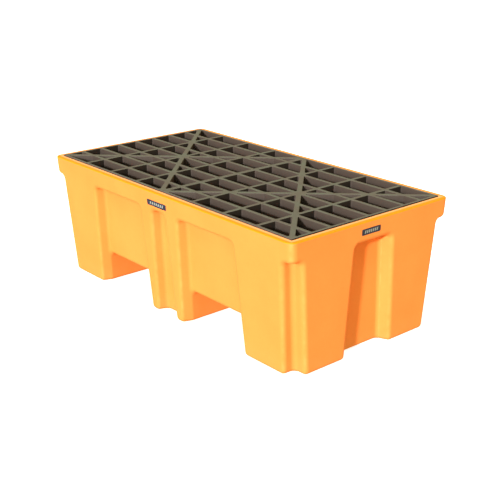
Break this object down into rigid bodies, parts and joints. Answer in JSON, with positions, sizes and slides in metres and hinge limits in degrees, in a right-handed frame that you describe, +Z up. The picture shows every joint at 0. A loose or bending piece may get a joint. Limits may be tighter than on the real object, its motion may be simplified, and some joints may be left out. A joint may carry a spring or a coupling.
{
  "type": "spill containment pallet",
  "caption": "Moulded sump tub on hollow feet with through fork channels, carrying lift-out open gratings that take drums above the sump.",
  "frame": {"origin": "on the floor, under the middle of the tub", "axes": "+X along the length, towards the end that carries the end badge; +Y across the width, away from the side that carries the side badge; +Z up"},
  "size_m": [1.2998, 0.6996, 0.449],
  "materials": {
    "tub_polyethylene": "rotomoulded satin, through-coloured golden yellow",
    "grate_polyethylene": "injection-moulded matt, dark grey-brown",
    "badge_film": "printed film, dark blue"
  },
  "bodies": {
    "tub": {"sump_tub": "tub_polyethylene", "side_badge": "badge_film", "end_badge": "badge_film"},
    "left_grating": {"left_grate": "grate_polyethylene"},
    "right_grating": {"right_grate": "grate_polyethylene"}
  },
  "joints": [
    {"name": "left_grate_lift", "type": "slide", "parent": "tub", "child": "left_grating", "axis": [0, 0, 1], "range_m": [0, 0.25]},
    {"name": "right_grate_lift", "type": "slide", "parent": "tub", "child": "right_grating", "axis": [0, 0, 1], "range_m": [0, 0.25]}
  ]
}
